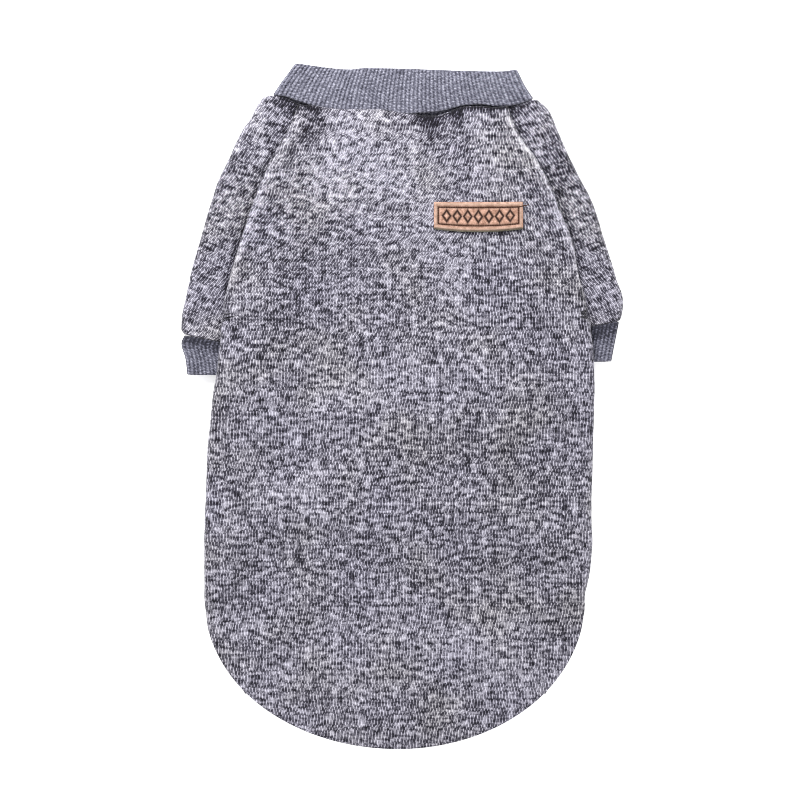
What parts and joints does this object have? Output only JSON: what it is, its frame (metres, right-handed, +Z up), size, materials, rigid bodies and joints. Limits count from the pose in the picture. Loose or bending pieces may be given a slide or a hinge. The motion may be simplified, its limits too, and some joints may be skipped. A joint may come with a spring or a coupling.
{
  "type": "dog sweater",
  "caption": "Small dog's raglan-sleeved sweater in grey knit fleece, laid flat back side up, with a rib collar, rib cuffs, a round back hem and a bare leather-look patch.",
  "frame": {"origin": "middle of what the sweater covers, on the surface that it lies on", "axes": "+Z up out of the surface, through the back panel; +Y towards the collar; +X towards the side with the patch"},
  "size_m": [0.251, 0.3902, 0.0126],
  "materials": {
    "knit_fleece": "marled grey knit face, brushed inside",
    "rib_knit": "blue-grey rib knit, folded double",
    "patch_leather": "tan leather look, satin"
  },
  "bodies": {
    "root": {"back_panel": "knit_fleece", "belly_panel": "knit_fleece", "sleeve_left": "knit_fleece", "sleeve_right": "knit_fleece", "collar": "rib_knit", "cuff_left": "rib_knit", "cuff_right": "rib_knit", "patch": "patch_leather"}
  },
  "joints": []
}
